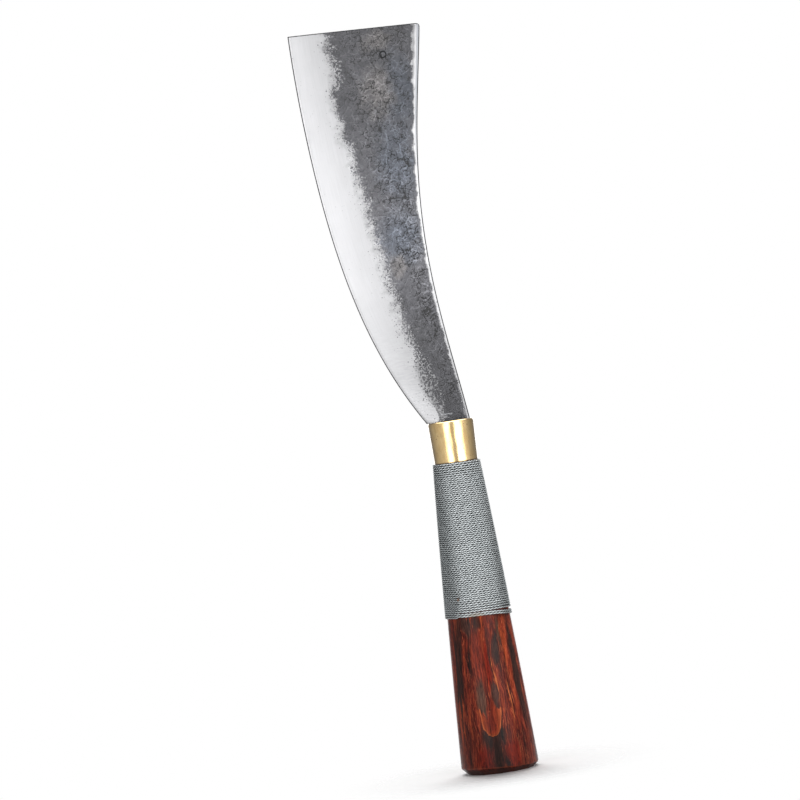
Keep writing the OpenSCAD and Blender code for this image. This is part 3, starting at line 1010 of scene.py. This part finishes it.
def strike_ring(shape):
    """Strikes the plain ring into the front flat, on faces made finer round it, and gives its groove a
    painted shade.
    """

    def off_centre(corner):
        if corner.co.y > 0:
            return math.inf
        return math.hypot(corner.co.x - RING_X, corner.co.z - RING_Z)

    reach = RING_R + RING_FINER
    struck = [edge for edge in shape.edges if all(off_centre(corner) < reach for corner in edge.verts)]
    bmesh.ops.subdivide_edges(shape, edges=struck, cuts=RING_CUTS, use_grid_fill=True)
    rim = shape.verts.layers.float["rim"]
    for corner in shape.verts:
        off_ring = abs(off_centre(corner) - RING_R)
        if off_ring < RING_GROOVE_HALF:
            share = math.cos(math.pi / 2 * off_ring / RING_GROOVE_HALF)
            corner.co.y += RING_DEPTH * share
            corner[rim] = 0.6 - 0.5 * share


# Ferrule

def ferrule():
    """Flared brass tube with a rounded mouth, not quite true after being driven on."""
    low_r, mouth_r = FERRULE_R
    low_inner, mouth_inner = bore_r(SHOULDER_Z), bore_r(MOUTH_Z)
    side_low, side_top = SHOULDER_Z + FERRULE_LIP, MOUTH_Z - MOUTH_ROUND_H
    profile = [(low_inner, SHOULDER_Z), (low_r - FERRULE_LIP, SHOULDER_Z), (low_r, side_low)]
    for k in range(1, FERRULE_ROWS):
        u = k / FERRULE_ROWS
        profile.append((blend(low_r, mouth_r, u), blend(side_low, side_top, u)))
    for k in range(MOUTH_ROWS + 1):
        a = math.pi / 2 * k / MOUTH_ROWS
        profile.append((mouth_r - MOUTH_ROUND_W * (1 - math.cos(a)), side_top + MOUTH_ROUND_H * math.sin(a)))
    profile += [
        (mouth_inner + FERRULE_LIP, MOUTH_Z), (mouth_inner, MOUTH_Z - FERRULE_LIP), (low_inner, SHOULDER_Z)
    ]
    shape = spun(profile, FERRULE_STEPS)
    for corner in shape.verts:
        out = Vector((corner.co.x, corner.co.y, 0))
        if out.length > low_r - 0.5:
            dent = noise.noise(corner.co * 0.13 + Vector((0, 0, 5)))
            corner.co -= out.normalized() * (FERRULE_DRAWN_IN + FERRULE_UNEVEN * dent)
    bmesh.ops.recalc_face_normals(shape, faces=shape.faces)
    finished("brass_ferrule", shape, polished_brass(), "ferrule")


# Handle

def butt_cuts():
    """Angle, radius on the flat and slope of each knife cut. The cuts get lower towards the spine side."""
    cuts = []
    for k in range(CHAMFER_CUTS):
        angle = math.tau * k / CHAMFER_CUTS
        share = (1 + math.cos(angle)) / 2
        start = blend(*CUT_STARTS, share) - CUT_UNEVENNESS * (1 + math.sin(math.radians(137 * k))) / 2
        cuts.append((angle, start, (BUTT_R - start) / blend(*CUT_HEIGHTS, share)))
    return cuts


BUTT_CUTS = butt_cuts()


def handle_r(angle, z):
    """Radius of the handle at an angle: shaved a little uneven, and cut off by the butt's chamfer."""
    shaved = noise.noise(Vector((2.2 * math.cos(angle), 2.2 * math.sin(angle), z * 0.012)))
    radius = wood_r(z) - SHAVED_OFF + SHAVED_UNEVEN * min(shaved, 0.6)
    for cut_angle, start, slope in BUTT_CUTS:
        facing = math.cos(angle - cut_angle)
        if facing > 0.7:
            radius = soft_min(radius, (start + slope * z) / facing, CUT_EASE)
    return radius


def slot_point(angle, z, reach_edge, reach_spine, half):
    """Point of the tang slot's outline in the direction of an angle round the handle."""
    across, through = math.cos(angle), math.sin(angle)
    reach = (reach_spine if across > 0 else reach_edge) + SLOT_GAP
    far = min(reach / max(abs(across), 0.001), (half + SLOT_GAP) / max(abs(through), 0.001))
    return Vector((far * across, far * through, z))


def handle_profile():
    """The turned side, its rows closest where the knife cuts will be, and the neck."""
    heights = [0.35 * k for k in range(1, 20)]
    heights += [7 + 1.6 * k for k in range(54)]
    heights += [blend(93.5, SHOULDER_Z, k / 20) for k in range(1, 21)]
    profile = [(0, 0), (7, 0), (13, 0), (16.5, 0), (CHAMFER_START_R, 0)]
    profile += [(wood_r(z), z) for z in heights]
    return profile + [(bore_r(SHOULDER_Z), SHOULDER_Z), (bore_r(NECK_TOP_Z), NECK_TOP_Z)]


def handle():
    """Turned and shaved taper with a neck, a slot burnt down its middle and a knife-cut butt."""
    shape = spun(handle_profile(), HANDLE_STEPS)
    for corner in shape.verts:
        radius = math.hypot(corner.co.x, corner.co.y)
        z = corner.co.z
        if radius < 0.01 or z > SHOULDER_Z + 0.1 or (z > SHOULDER_Z - 0.1 and radius < 12):
            continue
        angle = math.atan2(corner.co.y, corner.co.x)
        nominal = CHAMFER_START_R if z < 0.01 else wood_r(z)
        share = handle_r(angle, z) / nominal
        corner.co.x *= share
        corner.co.y *= share
    for z, outline in ((NECK_TOP_Z, TANG_NECK), (TANG_NECK_Z, TANG_NECK), (SLOT_END_Z, TANG_END)):
        grown = bmesh.ops.extrude_edge_only(shape, edges=open_edges(shape))["geom"]
        for corner in grown:
            if isinstance(corner, bmesh.types.BMVert):
                angle = math.atan2(corner.co.y, corner.co.x)
                corner.co = slot_point(angle, z, *outline)
    bmesh.ops.holes_fill(shape, edges=open_edges(shape), sides=0)
    bmesh.ops.recalc_face_normals(shape, faces=shape.faces)
    finished("wooden_handle", shape, red_hardwood(), "handle", crease=40)


# Winding

def around(angle, radius, z):
    """Point at an angle from the front of the handle, growing towards the spine."""
    return Vector((radius * math.sin(angle), -radius * math.cos(angle), z))


def turns_down(turns):
    """Pitches of drop after some turns. The first turns lie flat under the ferrule and step down behind."""
    stepped = math.floor(turns) + smooth(turns % 1, 0.75, 1)
    return blend(turns, stepped, max(0, 1 - turns / 6))


def sag(turns_left, angle):
    """How far the last turns have slipped down, a little in front and most of all at the right."""
    degrees = math.degrees(angle)
    low = smooth(degrees, *LOW_FROM) * (1 - smooth(degrees, *LOW_TO)) if turns_left > 0.2 else 0
    right = smooth(degrees, *RIGHT_FROM) * (1 - smooth(degrees, *RIGHT_TO))
    slipped = (SLIP_LOW * low + SLIP_RIGHT * right) * math.exp(-max(0, turns_left - 2) / SLIP_TURNS)
    return slipped + (LAST_SLIP * right if turns_left < 2.15 else 0)


def twine_turns():
    """Centre points of the turns, down from the ferrule. They ride up where they pass over the tail."""
    top_z = SHOULDER_Z - TWINE_R + FERRULE_BITE
    run_low, run_high = TAIL_RUN_Z
    angle = LAST_TURN_AT - math.tau * TURNS
    turns = []
    while angle < LAST_TURN_AT:
        turns_left = (LAST_TURN_AT - angle) / math.tau
        z = top_z - TURN_PITCH * turns_down(TURNS - turns_left)
        azimuth = (angle + math.pi / 2) % math.tau - math.pi / 2
        z_centre = z - sag(turns_left, azimuth)
        radius = wood_r(z_centre) + TWINE_R - TWINE_BITE
        tail_at = blend(LAST_TURN_AT, TAIL_AT, (z - run_low) / (run_high - run_low))
        over_tail = math.remainder(angle - tail_at, math.tau) * radius
        if z < TAIL_TOP_Z - 0.3:
            radius += TAIL_HUMP * math.exp(-((over_tail / TAIL_HUMP_W) ** 2))
        radius += TURN_UNEVEN_OUT * noise.noise(Vector((angle * 1.3, z * 0.9, 3)))
        z_centre += TURN_UNEVEN_DOWN * noise.noise(Vector((angle * 0.9, z * 0.8, 9)))
        turns.append(around(angle, radius, z_centre))
        angle += TWINE_STEP / radius
    return turns


def twine_route():
    """Centre points of the twine, with the share of its full thickness and how burnt it is at each."""
    turns = twine_turns()
    low_z = turns[-1].z
    route = [(centre, 1.0, 0) for centre in turns]
    for k in range(1, BEND_STEPS + 1):
        turn = math.pi / 2 * k / BEND_STEPS
        z = low_z + TAIL_BEND * (1 - math.cos(turn))
        at = LAST_TURN_AT + TAIL_BEND * math.sin(turn) / wood_r(z)
        route.append((around(at, wood_r(z) + BEND_OUT, z), BEND_SIZE, 0))
    for k in range(1, TAIL_STEPS + 1):
        z = blend(low_z + TAIL_BEND, TAIL_TOP_Z, k / TAIL_STEPS)
        at = blend(LAST_TURN_AT + 0.06, TAIL_AT, k / TAIL_STEPS)
        rise = smooth(k, TAIL_STEPS - 6, TAIL_STEPS - 2)
        out = wood_r(z) + TAIL_OUT + TAIL_END_OUT * rise
        route.append((around(at, out, z), blend(*TAIL_SIZES, rise), rise))
    return route


def sunk_share(from_middle, side):
    """How deep a point lies in the gap beside the turn, and somewhat in the gaps between the strands, which
    sets how much painted shade the twine's colour gets there.
    """
    between_turns = smooth(abs(from_middle.dot(side)) / TWINE_R, 0.42, 0.88)
    between_strands = (1 - from_middle.length / TWINE_R) / 0.45
    return 0.75 * between_turns + 0.55 * between_strands


def strand(number, route_frames, finish):
    """One of the twine's three strands, which wind round each other."""
    rings = []
    for row, (centre, out, side, size, burnt) in enumerate(route_frames):
        lay = math.tau * (row * TWINE_STEP / TWINE_LAY + number / 3)
        middle = centre + (out * math.cos(lay) + side * math.sin(lay)) * STRAND_OUT * size
        ring = []
        for column in range(STRAND_SIDES + 1):
            turn = math.tau * column / STRAND_SIDES
            facing = out * math.cos(lay + turn) + side * math.sin(lay + turn)
            corner = middle + facing * STRAND_R * size
            ring.append((corner, (sunk_share((corner - centre) / size, side), burnt)))
        rings.append(ring)
    shape = tube_of_rings(rings, STRAND_SIDES, ("sunk", "burnt"))
    finished("twine_strand_%d" % number, shape, finish, "grip_winding", crease=180)


def winding():
    """About seventy-five turns of three-strand twine, and the tail that is drawn back under them."""
    route = twine_route()
    route_frames = []
    for row, (centre, size, burnt) in enumerate(route):
        ahead = (route[min(row + 1, len(route) - 1)][0] - route[max(row - 1, 0)][0]).normalized()
        out = Vector((centre.x, centre.y, 0)).normalized()
        route_frames.append((centre, out, out.cross(ahead).normalized(), size, burnt))
    finish = grey_twine()
    for number in (1, 2, 3):
        strand(number, route_frames, finish)


# Stage

CAMERA_FAR = 2.0
CAMERA_X = -0.0267
CAMERA_Z = 0.2167
CAMERA_ROLL = 8.22
WIDTH_SEEN = 0.4556

# Azimuth, width and power of each upright lamp
UPRIGHT_LAMPS = {
    "left_lamp": (-29, 1.05, 13.6), "right_lamp": (29, 1.05, 13.6),
    "left_rear_lamp": (-165, 0.8, 10), "right_rear_lamp": (165, 0.8, 10),
}
LAMP_FAR = 1.6
LAMP_MIDDLE_Z = 0.23
LAMP_HEIGHT = 0.44
TOP_LAMP_POWER = 17.4
ROOM_LIGHT = 0.12
FLOOR_R = 0.4
FLOOR_WHITE = 0.92

# What metal sees round it: degrees from the camera's side, growing to the right, and how bright it is there
STUDIO_WHITE = 4.4
STUDIO = (
    (-180, 2.4), (-166, 2.4), (-158, 0.15), (-130, 0.3), (-100, 0.5), (-60, 0.75), (-44, 0.98), (-36, 3.2),
    (-28, 4.0), (-17, 3.8), (-10, 2.0), (-6, 0.88), (-2, 0.63), (8, 0.63), (12, 1.15), (17, 4.4), (44, 4.4),
    (58, 1.15), (90, 0.47), (118, 0.31), (158, 0.2), (166, 2.4), (180, 2.4),
)


def fresh_wiring(owner):
    """Wiring of a material or a world, with no nodes in it yet."""
    owner.use_nodes = True
    owner.node_tree.nodes.clear()
    return Wiring(owner.node_tree)


def seen_by(wiring, *kinds):
    """1 for the rays of some kinds."""
    path = wiring.node("LightPath", {})
    return wiring.either(*(path.outputs["Is %s Ray" % kind] for kind in kinds))


def pale_paper():
    """Whitish paper that fades out away from the butt, and nearer to it for the camera."""
    paper = bpy.data.materials.new("pale_paper")
    wiring = fresh_wiring(paper)
    matt = wiring.node("BsdfDiffuse", {"Color": grey(FLOOR_WHITE)}).outputs[0]
    clear = wiring.node("BsdfTransparent", {}).outputs[0]
    far = wiring.vector("LENGTH", wiring.node("TexCoord", {}).outputs["Object"])
    shown_white = wiring.times(seen_by(wiring, "Camera"), wiring.eased(far, 0.014, 0.1))
    share = wiring.either(wiring.eased(far, 0.06, 0.34), shown_white)
    fading = wiring.node("MixShader", {0: share, 1: matt, 2: clear}).outputs[0]
    wiring.node("OutputMaterial", {"Surface": fading})
    return paper


def floor():
    """Pale floor that fades into the white round it, and keeps the object's shadow."""
    sheet = bmesh.new()
    bmesh.ops.create_circle(sheet, cap_ends=True, radius=FLOOR_R, segments=64)
    in_scene("floor", mesh_of("floor", sheet, pale_paper()))


def lamp(name, place, aim, width, height, power):
    """Soft lamp at a place, turned to what it lights. Metal sees the painted studio in its stead."""
    light = bpy.data.lights.new(name, "AREA")
    light.shape = "RECTANGLE"
    light.size = width
    light.size_y = height
    light.energy = power
    holder = in_scene(name, light)
    holder.location = place
    holder.rotation_euler = (Vector(aim) - Vector(place)).to_track_quat("-Z", "Y").to_euler()
    holder.visible_camera = False
    holder.visible_glossy = False


def lamps():
    """Two soft lamps in front, two behind, and one overhead that lights the floor."""
    for name, (azimuth, width, power) in UPRIGHT_LAMPS.items():
        a = math.radians(azimuth)
        place = (LAMP_FAR * math.sin(a), -LAMP_FAR * math.cos(a), LAMP_MIDDLE_Z)
        lamp(name, place, (0, 0, LAMP_MIDDLE_Z), width, LAMP_HEIGHT, power)
    lamp("top_lamp", (0, 0.6, 1.4), (0, 0, 0), width=0.9, height=0.7, power=TOP_LAMP_POWER)


def room():
    """White to the camera, plain soft light on the object, and a studio of soft boxes in its metal."""
    world = bpy.data.worlds.new("studio")
    bpy.context.scene.world = world
    wiring = fresh_wiring(world)
    x, y, z = wiring.node("SeparateXYZ", {0: wiring.node("TexCoord", {}).outputs["Generated"]}).outputs
    turn = wiring.math("ARCTAN2", x, wiring.times(y, -1))
    share = wiring.times_plus(turn, 1 / math.tau, 0.5)
    boxes = wiring.grey_ramp(share, *((at / 360 + 0.5, bright / STUDIO_WHITE) for at, bright in STUDIO))
    boxes = wiring.mixed(wiring.eased(z, 0.6, 0.85), boxes, grey(1))
    studio = wiring.node("Background", {"Color": boxes, "Strength": STUDIO_WHITE}).outputs[0]
    plain = wiring.node("Background", {"Color": grey(1), "Strength": ROOM_LIGHT}).outputs[0]
    white = wiring.node("Background", {"Color": grey(1), "Strength": 1}).outputs[0]
    in_metal = seen_by(wiring, "Glossy", "Transmission")
    lit = wiring.node("MixShader", {0: in_metal, 1: plain, 2: studio}).outputs[0]
    shown = wiring.node("MixShader", {0: seen_by(wiring, "Camera"), 1: lit, 2: white}).outputs[0]
    wiring.node("OutputWorld", {"Surface": shown})


def camera():
    """Level with the middle of the object and rolled, so that the handle leans as photographed."""
    eye = bpy.data.cameras.new("camera")
    eye.lens = eye.sensor_width * CAMERA_FAR / WIDTH_SEEN
    holder = in_scene("camera", eye)
    holder.location = (CAMERA_X, -CAMERA_FAR, CAMERA_Z)
    holder.rotation_euler = (math.radians(90), math.radians(CAMERA_ROLL), 0)
    bpy.context.scene.camera = holder


camera()
blade()
ferrule()
handle()
winding()
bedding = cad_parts["tang_bedding"]
bedding.data.materials.clear()
bedding.data.materials.append(dark_resin())
floor()
lamps()
room()
bpy.context.scene.view_settings.view_transform = "Standard"
